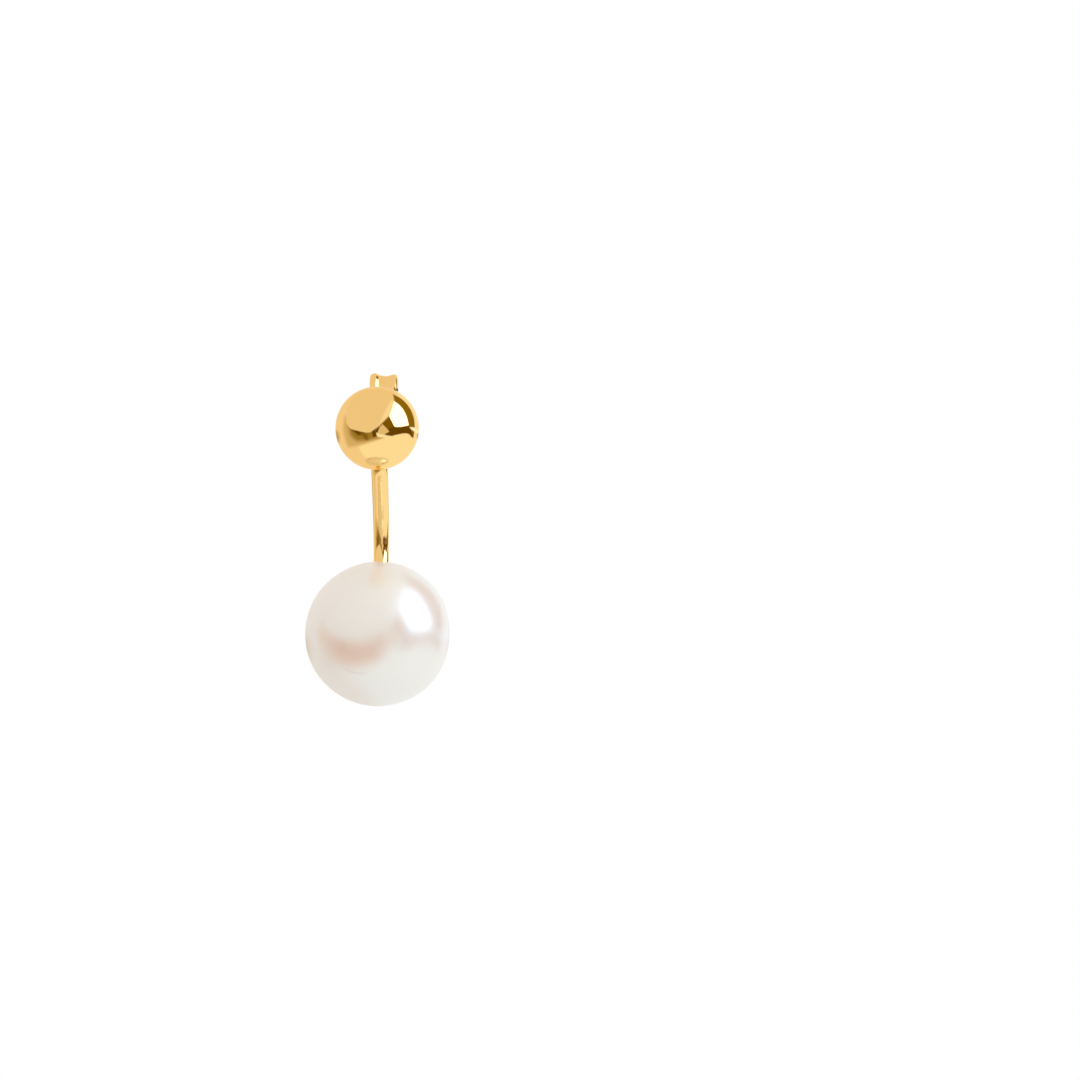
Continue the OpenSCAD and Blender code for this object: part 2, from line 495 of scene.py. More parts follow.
# From the back to the front, as each card hides the ones before it
ROOM_CARDS: tuple[Card, ...] = (
    Card("pale wall on the right", (1.0, 1.02, 1.05), edge=0.08, corners=(
        (0.9, -1.2), (1.2, -1.2), (1.2, 1.2), (0.4, 1.2),
    )),
    Card("pale floor", PALE_FLOOR, corners=(
        (-0.45, -0.43), (-0.36, -0.62), (-0.16, -0.82), (0.3, -1.2), (1.2, -1.2), (1.2, 0.14),
    )),
    Card("left shade", (0.68, 0.57, 0.40), edge=0.06, corner_round=0.1, corners=(
        (-0.78, 0.3), (-0.82, -0.1), (-0.7, -0.46), (-0.44, -0.43), (0.14, -0.22), (0.1, 0.1),
    )),
    Card("deep left shade", (0.34, 0.24, 0.06), edge=0.07, corner_round=0.1, corners=(
        (-0.7, 0.15), (-0.65, -0.18), (-0.48, -0.32), (-0.2, -0.3), (0.14, -0.21), (0.05, 0.1),
    )),
    Card("dark things on the left", DARK_WOOD, corners=(
        (-0.66, 0.02), (-0.46, -0.17), (-0.34, -0.15), (-0.26, -0.06), (-0.4, 0.0),
    )),
    Card("dark thing left of the middle", (0.22, 0.14, 0.02), corners=(
        (-0.42, -0.1), (-0.27, -0.29), (-0.2, -0.27), (-0.24, -0.14),
    )),
    Card("dark stand", (0.12, 0.06, 0.0), edge=0.012, corners=(
        (-0.13, -0.06), (-0.1, -0.21), (-0.03, -0.2), (0.03, -0.08), (0.06, 0.08), (0.0, 0.08),
    )),
    Card("dark room on the right", (0.26, 0.17, 0.01), edge=0.012, corners=(
        (0.37, 0.82), (0.05, 0.1), (0.16, -0.15), (0.26, -0.178), (0.5, -0.2), (0.86, -0.215),
        (0.885, -0.16), (0.905, 0.08), (0.875, 0.28), (0.8, 0.46), (0.69, 0.61), (0.56, 0.725),
    )),
    Card("wedge of the dark room", (0.2, 0.12, 0.0), edge=0.012, corners=(
        (0.27, 0.32), (0.08, 0.12), (0.16, -0.15), (0.4, 0.0), (0.4, 0.06),
    )),
    Card("dark table edge", DARK_WOOD, edge=0.02, corners=(
        (0.3, 0.0), (0.16, -0.15), (0.3, -0.185), (0.88, -0.225), (0.76, 0.06), (0.42, 0.05),
    )),
    Card("pale floor before the table", PALE_FLOOR, edge=0.012, corners=(
        (0.25, -0.3), (0.85, -0.3), (0.85, -0.25), (0.804, -0.178), (0.764, -0.138), (0.72, -0.12),
        (0.66, -0.117), (0.579, -0.128), (0.367, -0.178),
    )),
    Card("pale sheet", (1.0, 1.02, 1.1), edge=0.012, corners=(
        (-0.03, -0.105), (0.01, -0.212), (0.129, -0.225), (0.3, -0.218), (0.168, -0.14),
    )),
    Card("facet", (0.77, 0.66, 0.52), edge=0.012, corner_round=0.02, corners=(
        (0.125, 0.1), (0.065, 0.02), (0.01, -0.1), (0.06, -0.14), (0.165, -0.155), (0.294, -0.08),
        (0.21, 0.02),
    )),
    Card("white panel", (2.6, 2.5, 3.3), edge=0.01, corner_round=0.02, corners=(
        (0.29, 0.29), (0.42, 0.035), (0.58, 0.035), (0.755, 0.075), (0.705, 0.285), (0.62, 0.457),
        (0.515, 0.575), (0.38, 0.66),
    )),
    Card("large softbox", (0.88, 0.78, 0.69), edge=0.014, corner_round=0.02, corners=(
        (0.4, 0.66), (0.4, 0.76), (0.36, 0.84), (0.16, 0.92), (-0.08, 0.935), (-0.35, 0.895),
        (-0.57, 0.76), (-0.74, 0.46), (-0.74, 0.12), (-0.65, -0.005), (-0.48, -0.06), (-0.27, -0.105),
        (-0.16, -0.098), (0.01, 0.027), (0.18, 0.192), (0.274, 0.285), (0.37, 0.5),
    )),
    Card("bright side of the softbox", (0.99, 0.98, 0.98), edge=0.05, corners=(
        (0.4, 0.66), (0.33, 0.66), (0.2, 0.42), (0.05, 0.12), (0.01, 0.03), (0.18, 0.195),
        (0.274, 0.288), (0.37, 0.5),
    )),
    Card("bright streak", (1.2, 1.25, 1.6), edge=0.014, corners=(
        (0.77, 0.03), (0.81, -0.035), (0.88, -0.085), (0.98, -0.14), (0.985, -0.06), (0.91, 0.015),
    )),
    Card("dark frame at the far right", (0.6, 0.47, 0.33), edge=0.02, corners=(
        (0.955, -0.13), (0.945, -0.24), (1.0, -0.26), (1.0, -0.1),
    )),
    Card("dark frame at the far left", (0.53, 0.43, 0.26), edge=0.05, corners=(
        (-0.985, -0.05), (-1.0, -0.3), (-0.92, -0.34), (-0.9, -0.22), (-0.94, -0.08),
    )),
)


@dataclass(frozen=True)
class Studio:
    """The light round the object and the pale floor under it.

    What is matt is lit evenly from all round, a little more from one way, which is (right, up, back)
    as the camera sees it. Polished metal shows the cards.
    """

    view: Viewpoint
    backdrop: Colour = (0.92, 0.83, 0.75)
    matt_low: Colour = (0.82, 0.79, 0.79)
    matt_high: Colour = (1.22, 1.22, 1.23)
    matt_way: Triple = (0.55, 0.75, 0.3)
    floor_drop: float = 60.0
    floor_side: float = 4000.0
    cards: tuple[Card, ...] = ROOM_CARDS

    def mirrored_light(self, bench: NodeBench, way: Socket) -> Socket:
        """Paints what polished metal shows: the backdrop with every card on it.

        Args:
            bench: the world's node tree.
            way: the way to the light.

        Returns:
            The light's colour. The ball shows a way where its skin faces half-way to the camera.
        """
        facing = bench.vector("NORMALIZE", bench.vector("ADD", way, tuple(self.view.back)))
        disc = {0: bench.along(self.view.right, facing), 1: bench.along(self.view.up, facing)}
        place = bench.add("ShaderNodeCombineXYZ", disc).outputs[0]
        light = self.backdrop
        for card in self.cards:
            light = bench.blend(card.mask(bench, place), light, card.light)
        return light

    def matt_light(self, bench: NodeBench, way: Socket) -> Socket:
        """Paints the light that falls on what is matt.

        Args:
            bench: the world's node tree.
            way: the way to the light.

        Returns:
            The light's colour.
        """
        right, up, back = self.matt_way
        lamp_way = (right * self.view.right + up * self.view.up + back * self.view.back).normalized()
        share = bench.math("MULTIPLY_ADD", bench.along(lamp_way, way), 0.5, 0.5)
        return bench.blend(share, self.matt_low, self.matt_high)

    def build_light(self) -> None:
        """Sets the world's light. What the camera sees past the floor is white."""
        world = bpy.data.worlds.new("studio")
        bpy.context.scene.world = world
        world.use_nodes = True
        world.cycles.sampling_method = "NONE"
        world.node_tree.nodes.clear()
        bench = NodeBench(world.node_tree)
        way = bench.add("ShaderNodeTexCoord").outputs["Generated"]
        path = bench.add("ShaderNodeLightPath").outputs
        lit = bench.blend(
            path["Is Glossy Ray"], self.matt_light(bench, way), self.mirrored_light(bench, way)
        )
        room = bench.add("ShaderNodeBackground", {"Color": lit})
        white = bench.add("ShaderNodeBackground", {"Color": (1, 1, 1, 1)})
        seen = {0: path["Is Camera Ray"], 1: room.outputs[0], 2: white.outputs[0]}
        shown = bench.add("ShaderNodeMixShader", seen)
        bench.add("ShaderNodeOutputWorld", {"Surface": shown.outputs[0]})

    def build_floor(self) -> None:
        """Lays the pale floor, which glows evenly and shows to the camera alone."""
        bpy.ops.object.select_all(action="DESELECT")
        bpy.ops.mesh.primitive_plane_add(size=self.floor_side * MM, location=(0, 0, -self.floor_drop * MM))
        floor = bpy.context.active_object
        floor.name = "floor"
        for ray in ("diffuse", "glossy", "transmission", "volume_scatter", "shadow"):
            setattr(floor, f"visible_{ray}", False)
        floor.data.materials.append(GlowFinish("pale_floor").material())

    def build(self, ball_middle: Vector) -> None:
        """Sets the light, the floor and the camera.

        Args:
            ball_middle: the ball's middle in millimetres.
        """
        bpy.context.scene.view_settings.view_transform = "Standard"
        self.build_light()
        self.build_floor()
        self.view.set_camera(ball_middle)


class Polish(Enum):
    """How finely a gold surface is polished, as its roughness between marks and in them."""

    MIRROR = (0.02, 0.05)
    BRIGHT = (0.07, 0.13)
    SOFT = (0.12, 0.17)


def polish_marks() -> bpy.types.ShaderNodeTree:
    """Makes the node group of fine polishing marks, or gives the one that is there.

    Returns:
        The group, with the place in metres and the sizes in millimetres as inputs. Tone and Wear come
        out from 0 to 1, and Relief in millimetres.
    """
    name = "polish_marks"
    if name in bpy.data.node_groups:
        return bpy.data.node_groups[name]
    group = bpy.data.node_groups.new(name, "ShaderNodeTree")
    for socket, kind in (("Place", "Vector"), ("Wave Depth", "Float"), ("Mark Depth", "Float")):
        group.interface.new_socket(socket, in_out="INPUT", socket_type=f"NodeSocket{kind}")
    for socket in ("Tone", "Wear", "Relief"):
        group.interface.new_socket(socket, in_out="OUTPUT", socket_type="NodeSocketFloat")
    bench = NodeBench(group)
    given = bench.add("NodeGroupInput").outputs
    place = given["Place"]
    tone = bench.noise(place, size_mm=2.4)
    waves = bench.noise(place, size_mm=1.7, detail=1.0)
    marks = 0.0
    for turn in ((0.3, 0.2, 0.9), (1.2, 0.7, -0.4), (-0.5, 1.4, 0.1)):
        stretched = {"Vector": place, "Rotation": turn, "Scale": (0.06, 1, 1)}
        drawn = bench.add("ShaderNodeMapping", stretched).outputs[0]
        line = bench.ramp(bench.noise(drawn, size_mm=0.16, detail=1.0), low=0.6, high=0.72)
        marks = bench.math("MAXIMUM", marks, line)
    haze = bench.ramp(bench.noise(place, size_mm=0.9, detail=3.0), low=0.35, high=0.75, at_high=0.6)
    wear = bench.math("MAXIMUM", marks, haze)
    mark_relief = bench.math("MULTIPLY", marks, given["Mark Depth"])
    wave_relief = bench.math("MULTIPLY", waves, given["Wave Depth"])
    relief = bench.math("SUBTRACT", wave_relief, mark_relief)
    bench.add("NodeGroupOutput", {"Tone": tone, "Wear": wear, "Relief": relief})
    return group


@dataclass(frozen=True)
class GoldFinish(Finish):
    """Yellow gold with fine polishing marks, whose depths are in millimetres."""

    polish: Polish
    pale: Colour = (1.0, 0.72, 0.30)
    deep: Colour = (0.98, 0.69, 0.27)
    edge: Colour = (1.0, 0.9, 0.7)
    wave_depth: float = 0.006
    mark_depth: float = 0.0004

    def paint(self, bench: NodeBench) -> Socket:
        """Adds a metal whose tone, roughness and relief vary over the surface.

        Args:
            bench: the material's node tree.

        Returns:
            The metal's shader.
        """
        place = bench.add("ShaderNodeTexCoord").outputs["Object"]
        wanted = {"Place": place, "Wave Depth": self.wave_depth, "Mark Depth": self.mark_depth}
        marks = bench.add("ShaderNodeGroup", wanted, node_tree=polish_marks()).outputs
        smooth, worn = self.polish.value
        bump = bench.add("ShaderNodeBump", {"Strength": 1.0, "Distance": MM, "Height": marks["Relief"]})
        metal = bench.add(
            "ShaderNodeBsdfPrincipled",
            {
                "Base Color": bench.blend(marks["Tone"], self.pale, self.deep),
                "Metallic": 1.0,
                "Specular Tint": (*self.edge, 1.0),
                "Roughness": bench.ramp(marks["Wear"], 0.0, 1.0, smooth, worn),
                "Normal": bump.outputs[0],
            },
        )
        return metal.outputs[0]


@dataclass(frozen=True)
class NacreFinish(Finish):
    """White nacre with a pink body and a cool soft shine, and on its front a painted reflection of the
    dark band on the left and a painted reflection of the floor's edge, a mauve line.

    Places count from the pearl's middle, in millimetres. The body turns from pink on the left to cream
    on the right, with a drift to and fro. The painted band fades out over its half sizes, and its bend
    lifts its two sides, by this much at one millimetre from the band's middle. The painted line is the
    part of a ring that is within reach of one place.
    """

    pearl_middle: Vector
    # The painted reflection of the dark band on the left: its place, size, bend and unevenness
    painted_band_place: Triple = (-1.45, -4.8, -1.0)
    painted_band_size: Triple = (4.4, 4.5, 1.65)
    painted_band_bend: float = 0.19
    painted_band_drift: float = 0.5
    # The painted reflection of the floor's edge: a line on a ring, near one place
    ring_place: Triple = (-1.05, -5.09, 0.27)
    ring_r: float = 2.58
    line_width: float = 0.16
    line_place: Triple = (-1.52, -4.46, -2.18)
    line_reach: float = 1.4
    pink_at: float = -1.5
    cream_at: float = 4.5
    body_drift: float = 3.0
    relief_depth: float = 0.01
    relief_strength: float = 0.4
    band_share: float = 0.8
    cream: Colour = (0.955, 0.765, 0.705)
    pink: Colour = (0.925, 0.7, 0.65)
    # Painted reflection colours: the dark band's pink, then the floor edge's mauve
    painted_band_tone: Colour = (0.93, 0.585, 0.5)
    painted_edge_tone: Colour = (0.83, 0.55, 0.55)
    cool_shine: Colour = (0.32, 0.94, 0.88)
    shine_index: float = 3.1
    smooth: float = 0.28
    dull: float = 0.32
    coat: float = 1.0
    coat_roughness: float = 0.38
    coat_index: float = 2.0

    def counted_from(self, spot: Triple, bench: NodeBench, place: Socket) -> Socket:
        """Gives a place on the pearl as it counts from a spot, in metres."""
        origin = (self.pearl_middle + Vector(spot)) * MM
        return bench.vector("SUBTRACT", place, tuple(origin))

    def painted_band_mask(self, bench: NodeBench, place: Socket) -> Socket:
        """Draws the painted reflection of the dark band.

        Args:
            bench: the node tree.
            place: the place in metres.

        Returns:
            A socket that is 1 in the painted band and fades to 0 round it, a little unevenly.
        """
        width, _, height = self.painted_band_size
        offset = self.counted_from(self.painted_band_place, bench, place)
        shares = bench.vector("DIVIDE", offset, tuple(size * MM for size in self.painted_band_size))
        side = bench.add("ShaderNodeSeparateXYZ", {"Vector": shares}).outputs["X"]
        bend = -self.painted_band_bend * width**2 / height
        rise = bench.math("MULTIPLY", bench.math("MULTIPLY", side, side), bend)
        lift = bench.add("ShaderNodeCombineXYZ", {"Z": rise}).outputs[0]
        far = bench.vector("LENGTH", bench.vector("ADD", shares, lift))
        uneven = bench.math("MULTIPLY_ADD", bench.noise(place, size_mm=1.8), self.painted_band_drift, far)
        return bench.ramp(uneven, low=1.25, high=0.5)

    def painted_edge_line_mask(self, bench: NodeBench, place: Socket) -> Socket:
        """Draws the painted reflection of the floor's edge, a thin line.

        Args:
            bench: the node tree.
            place: the place in metres.

        Returns:
            A socket that is 1 on the line and fades to 0 beside it and past its ends.
        """
        far = bench.vector("LENGTH", self.counted_from(self.ring_place, bench, place))
        beside = bench.math("ABSOLUTE", bench.math("SUBTRACT", far, self.ring_r * MM))
        along = bench.vector("LENGTH", self.counted_from(self.line_place, bench, place))
        on_ring = bench.ramp(beside, self.line_width * MM, 0.0)
        within_reach = bench.ramp(along, self.line_reach * MM, 0.0)
        return bench.math("MULTIPLY", on_ring, within_reach)

    def tone(self, bench: NodeBench, place: Socket) -> Socket:
        """Mixes the nacre's tone.

        Args:
            bench: the node tree.
            place: the place in metres.

        Returns:
            The colour of the body with the painted reflections of the dark band and of the floor's edge on
            it.
        """
        across = bench.add("ShaderNodeSeparateXYZ", {"Vector": place}).outputs["X"]
        lumps = bench.noise(place, size_mm=5.0)
        drift = bench.math("MULTIPLY_ADD", lumps, self.body_drift * MM, across)
        pinkness = bench.ramp(drift, self.cream_at * MM, self.pink_at * MM)
        body = bench.blend(pinkness, self.cream, self.pink)
        # Paints the reflections of the dark band and of the floor's edge into the tone
        with_painted_band = bench.blend(self.painted_band_mask(bench, place), body, self.painted_band_tone)
        return bench.blend(self.painted_edge_line_mask(bench, place), with_painted_band, self.painted_edge_tone)

    def paint(self, bench: NodeBench) -> Socket:
        """Adds a pearl's skin whose tone, shine and relief vary over the surface.

        Args:
            bench: the material's node tree.

        Returns:
            The skin's shader.
        """
        place = bench.add("ShaderNodeTexCoord").outputs["Object"]
        grain = bench.noise(place, size_mm=0.35, detail=3.0)
        stretched = {"Vector": place, "Scale": (0.3, 0.3, 1)}
        bands = bench.noise(bench.add("ShaderNodeMapping", stretched).outputs[0], size_mm=1.2)
        banded = bench.math("MULTIPLY", bands, self.band_share)
        relief = {
            "Strength": self.relief_strength,
            "Distance": self.relief_depth * MM,
            "Height": bench.math("MULTIPLY_ADD", grain, 1 - self.band_share, banded),
        }
        pearl = bench.add(
            "ShaderNodeBsdfPrincipled",
            {
                "Base Color": self.tone(bench, place),
                "Roughness": bench.ramp(grain, 0.3, 0.7, self.smooth, self.dull),
                "IOR": self.shine_index,
                "Specular Tint": (*self.cool_shine, 1.0),
                "Coat Weight": self.coat,
                "Coat Roughness": self.coat_roughness,
                "Coat IOR": self.coat_index,
                "Normal": bench.add("ShaderNodeBump", relief).outputs[0],
            },
        )
        return pearl.outputs[0]


@dataclass(kw_only=True)
class SubAssembly:
    """A piece that stands for a CAD node and rides on that node's body."""

    node: str
    body: str
    slot: str

    def shape(self) -> Workpiece:
        """Models the piece in millimetres."""
        raise NotImplementedError

    def finish(self) -> bpy.types.Material:
        """Makes the piece's material."""
        raise NotImplementedError

    def build(self) -> None:
        """Models the piece, dresses it and hands it to the frame, in metres."""
        piece = self.shape().piece
        piece.data.transform(Matrix.Scale(MM, 4))
        piece.data.materials.clear()
        piece.data.materials.append(self.finish())
        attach(piece, self.body)
        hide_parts(self.node)
        log.info("%s: %d faces, for %s on %s", piece.name, len(piece.data.polygons), self.node, self.body)


@dataclass(kw_only=True)
class BallStud(SubAssembly):
    """The polished ball and the post soldered to its back.

    Where the solder ends and where the notch is are places along the post, which starts at 0.
    """

    node: str = "ball_stud"
    body: str = "stud"
    slot: str = "gold"
    rings: int = 80
    rings_cut: int = 4
    post_r: float = 0.4
    solder_end: float = 0.04
    solder_angles: tuple[float, ...] = (30, 60, 90)
    notch_y: float = 7.88
    notch_w: float = 0.56
    notch_depth: float = 0.07
    notch_steps: int = 10
    tip_length: float = 0.4
    tip_r: float = 0.22
    tip_round: float = 0.06

    @property
    def ball_r(self) -> float:
        """The ball's radius, from the frame."""
        low, high = box_in_mm(self.node)
        return (high.x - low.x) / 2

    @property
    def ball_middle(self) -> Vector:
        """The ball's middle, from the frame."""
        return Vector((0, box_in_mm(self.node)[0].y + self.ball_r, 0))

    def post_profile(self, solder_r: float, solder_y: float) -> Profile:
        """Draws the post from its solder on the ball to its rounded tip.

        Args:
            solder_r: the radius of the ring where the solder meets the ball.
            solder_y: that ring's place along the post.

        Returns:
            (along, radius) of each ring.
        """
        post_end = box_in_mm(self.node)[1].y
        taper_start = post_end - self.tip_length
        arc_r = (self.notch_w**2 / 4 + self.notch_depth**2) / (2 * self.notch_depth)
        slope = (self.post_r - self.tip_r) / self.tip_length
        rows = [(solder_y, solder_r)]
        for angle in map(math.radians, self.solder_angles):
            along = solder_y + (self.solder_end - solder_y) * (1 - math.cos(angle))
            rows.append((along, solder_r + (self.post_r - solder_r) * math.sin(angle)))
        for step in range(self.notch_steps + 1):
            offset = self.notch_w * (step / self.notch_steps - 0.5)
            depth = math.sqrt(arc_r**2 - offset**2) - (arc_r - self.notch_depth)
            rows.append((self.notch_y + offset, self.post_r - depth))
        rows.append((taper_start, self.post_r))
        round_y = post_end - self.tip_round
        rows.append((round_y, self.tip_r + slope * self.tip_round))
        rows += arc((round_y, self.tip_r - self.tip_round), self.tip_round, start=60, end=0, steps=3)
        rows.append((post_end, POINT_R))
        return rows

    def shape(self) -> Workpiece:
        """Models a ball whose back opens into the post.

        Returns:
            The workpiece.
        """
        work = Workpiece.from_ball("ball_and_post", self.ball_middle, self.ball_r, POST_WAY, self.rings)
        cap = math.pi * self.rings_cut / self.rings
        cap_y = self.ball_middle.y + self.ball_r * math.cos(cap)
        work.cut_away(lambda co: co.y > cap_y)
        work.pick(Part.OPEN_EDGES, lambda co: True)
        work.lathe(Vector(), POST_WAY, self.post_profile(self.ball_r * math.sin(cap), cap_y))
        work.close_to_point()
        work.leave_bench(sharp_above=35)
        return work

    def finish(self) -> bpy.types.Material:
        """Polishes the ball to a mirror."""
        return GoldFinish("mirror_gold", Polish.MIRROR).material()


@dataclass(frozen=True)
class Stretch:
    """A stretch of the arm: a straight one has a length and no turn, a bend has a radius and a turn.

    The turn is in degrees, positive towards the back.
    """

    length: float = 0.0
    radius: float = 0.0
    turn: float = 0.0


@dataclass(kw_only=True)
class JacketArm(SubAssembly):
    """The arm, from the rim of its eyelet down to the cup and peg that hold the pearl.

    It is flat at the eyelet and round below the ball. Where it hangs from, its neck, where it tapers
    from, how far it is flat and where it is round are depths below the post's axis. The cup's back, rim
    and floor and the peg's end count from the seat towards the pearl's middle. Its slope and its turns
    are in degrees.
    """

    node: str = "jacket_arm"
    body: str = "jacket"
    slot: str = "gold"
    play: float = 0.05
    bore_r: float = 0.45
    eyelet_r: float = 1.35
    eyelet_t: float = 0.75
    eyelet_round: float = 0.18
    bore_round: float = 0.06
    eyelet_count: int = 96
    join_columns: int = 14
    join_rows: int = 6
    join_turn: float = 45.0
    join_edge: float = 0.09
    join_smoothness: float = 0.25
    top_thickness: float = 0.66
    flat_until: float = 1.4
    round_from: float = 2.5
    taper_from: float = 0.8
    top_width: float = 1.25
    end_width: float = 1.07
    hang_from: float = 1.8
    neck: float = 3.25
    neck_bend_r: float = 0.9
    slope: float = 27.0
    slope_length: float = 3.45
    back_bend_r: float = 4.3
    plumb_length: float = 0.3
    front_bend_r: float = 3.28
    end_turn: float = 50.0
    blend_turn: float = 12.0
    degrees_a_ring: float = 2.5
    cup_back_r: float = 0.64
    cup_back: float = -0.25
    cup_r: float = 0.916
    cup_rim: float = 0.15
    cup_steps: int = 5
    cup_bulge: float = 0.02
    cup_rows: int = 8
    rim_round: float = 0.03
    hollow_rings: tuple[float, ...] = (0.8, 0.7, 0.6, 0.5, 0.42)
    peg_r: float = 0.37
    peg_end: float = 4.12
    peg_bevel: float = 0.06
    foot_rise: float = 0.02
    foot_reach: float = 0.01
    pearl_r: float = 5.2
    cup_floor: float = 0.12
    hoop_count: int = 40

    @property
    def middle_y(self) -> float:
        """Where the arm's middle plane is along the post."""
        return self.play + self.eyelet_t / 2

    @property
    def stretches(self) -> tuple[Stretch, ...]:
        """The arm's stretches from its first ring down to the seat."""
        return (
            Stretch(length=self.neck - self.hang_from),
            Stretch(radius=self.neck_bend_r, turn=self.slope),
            Stretch(length=self.slope_length),
            Stretch(radius=self.back_bend_r, turn=-self.slope),
            Stretch(length=self.plumb_length),
            Stretch(radius=self.front_bend_r, turn=self.blend_turn - self.end_turn),
        )

    def seat(self) -> tuple[Vector, Vector]:
        """Finds the seat at the arm's end.

        Returns:
            Its place, and the way from there to the middle of the pearl.
        """
        low, high = box_in_mm("pearl_bead")
        turn = math.radians(-self.end_turn)
        way = Vector((0, math.sin(turn), -math.cos(turn)))
        return (low + high) / 2 - (self.cup_floor + self.pearl_r) * way, way

    def eyelet_profile(self) -> Profile:
        """Draws round the eyelet's wall, from the bore's front edge outwards.

        Returns:
            (along, radius) of each ring, the last one next to the first.
        """
        front, back = self.play, self.play + self.eyelet_t
        rim, inner = self.eyelet_r - self.eyelet_round, self.bore_r + self.bore_round
        return [
            (front, inner),
            (front, (inner + rim) / 2),
            (front, rim),
            *arc((front + self.eyelet_round, rim), self.eyelet_round, start=180, end=90, steps=4),
            (self.middle_y, self.eyelet_r),
            (back - self.eyelet_round, self.eyelet_r),
            *arc((back - self.eyelet_round, rim), self.eyelet_round, start=90, end=0, steps=4),
            (back, (inner + rim) / 2),
            (back, inner),
            *arc((back - self.bore_round, inner), self.bore_round, start=0, end=-90, steps=3),
            (front + self.bore_round, self.bore_r),
            *arc((front + self.bore_round, inner), self.bore_round, start=-90, end=-180, steps=3)[:-1],
        ]

    def cup_profile(self) -> Profile:
        """Draws the cup from its back to its rim, down its hollow and up the peg.

        Returns:
            (along, radius) of each ring.
        """
        hollow_r = self.pearl_r + self.play
        hollow_middle = self.cup_floor + self.pearl_r
        rows = [(self.cup_back, self.cup_back_r)]
        for step in range(1, self.cup_steps):
            share = step / self.cup_steps
            along = self.cup_back + share * (self.cup_rim - self.cup_back)
            bulge = self.cup_bulge * math.sin(math.pi * share)
            rows.append((along, self.cup_back_r + share * (self.cup_r - self.cup_back_r) + bulge))
        rim = (self.cup_rim - self.rim_round, self.cup_r - self.rim_round)
        rows += arc(rim, self.rim_round, start=90, end=0, steps=3)
        for radius in self.hollow_rings:
            rows.append((hollow_middle - math.sqrt(hollow_r**2 - radius**2), radius))
        floor = hollow_middle - math.sqrt(hollow_r**2 - self.peg_r**2)
        return rows + [
            (floor + self.foot_rise, self.peg_r + self.foot_reach),
            (floor + self.peg_bevel, self.peg_r),
            (self.peg_end - self.peg_bevel, self.peg_r),
            (self.peg_end, self.peg_r - self.peg_bevel),
            (self.peg_end, POINT_R),
        ]

    def width_at(self, z: float) -> float:
        """Gives the arm's width at a height, which tapers from the eyelet to the pearl."""
        top, end = -self.taper_from, self.seat()[0].z
        return self.end_width + (self.top_width - self.end_width) * (z - end) / (top - end)

    def thickness_at(self, z: float) -> float:
        """Gives the arm's thickness at a height, which grows to the width as the arm gets round."""
        share = eased((-z - self.flat_until) / (self.round_from - self.flat_until))
        return self.top_thickness + share * (self.width_at(z) - self.top_thickness)

    def draw_section(self, work: Workpiece) -> None:
        """Adds the arm's first ring, an oval, and leaves it picked.

        Args:
            work: the workpiece.
        """
        middle = Vector((0, self.middle_y, -self.hang_from))
        width = self.width_at(middle.z)
        work.add_hoop(middle, width / 2, UPWARD, self.hoop_count)
        work.resize((1, self.thickness_at(middle.z) / width, 1), middle)

    def sweep(self, work: Workpiece) -> None:
        """Draws the picked ring along the arm's stretches, turning and tapering it on the way.

        Args:
            work: the workpiece, with the arm's first ring picked.
        """
        place = Vector((0, self.middle_y, -self.hang_from))
        heading = 0.0
        for stretch in self.stretches:
            steps = max(8, math.ceil(abs(stretch.turn) / self.degrees_a_ring))
            turn = math.radians(stretch.turn) / steps
            chord = 2 * stretch.radius * math.sin(abs(turn) / 2) or stretch.length / steps
            for _ in range(steps):
                way = heading + turn / 2
                shift = chord * Vector((0, math.sin(way), -math.cos(way)))
                narrower = self.width_at(place.z + shift.z) / self.width_at(place.z)
                thicker = self.thickness_at(place.z + shift.z) / self.thickness_at(place.z)
                place = place + shift
                heading += turn
                work.draw_out(shift)
                if turn:
                    work.tip(turn, place)
                work.resize((narrower, thicker, thicker), place)

    def shape(self) -> Workpiece:
        """Models eyelet, arm, cup and peg as one skin.

        Returns:
            The workpiece.
        """
        profile = self.eyelet_profile()
        first_y, first_r = profile[0]
        work = Workpiece.from_hoop(
            "arm_and_eyelet", first_y * POST_WAY, first_r, POST_WAY, self.eyelet_count
        )
        work.lathe(Vector(), POST_WAY, profile)
        work.bridge(0, lambda co: True)
        join_x = self.eyelet_r * math.sin(math.pi * self.join_columns / self.eyelet_count)
        join_y = self.eyelet_t / 2 - self.eyelet_round * (1 - math.cos(math.radians(self.join_turn)))
        work.cut_away(
            lambda co: co.z < 0
            and abs(co.x) < join_x
            and abs(co.y - self.middle_y) < join_y
            and math.hypot(co.x, co.z) > self.eyelet_r - self.join_edge
        )
        self.draw_section(work)
        self.sweep(work)
        seat, way = self.seat()
        back = seat + self.cup_back * way
        work.add_hoop(back, self.cup_back_r, way, self.hoop_count)
        work.lathe(seat, way, self.cup_profile())
        work.close_to_point()
        work.bridge(self.join_rows, lambda co: co.z > -self.hang_from - NEAR, self.join_smoothness)
        work.bridge(self.cup_rows, lambda co: co.z < -self.neck)
        work.leave_bench()
        return work

    def finish(self) -> bpy.types.Material:
        """Polishes the arm softly."""
        return GoldFinish("soft_gold", Polish.SOFT, wave_depth=0.003).material()


@dataclass(frozen=True)
class Push:
    """A soft high or low place of the pearl's skin, seen from the front.

    The angle is in degrees from the right towards the top, and the height in millimetres. How far out
    the place is counts in radii of the pearl: 1 is on its outline and 0 in the middle of its front.
    """

    angle: float
    height: float
    reach: float = 3.4
    out: float = 1.0


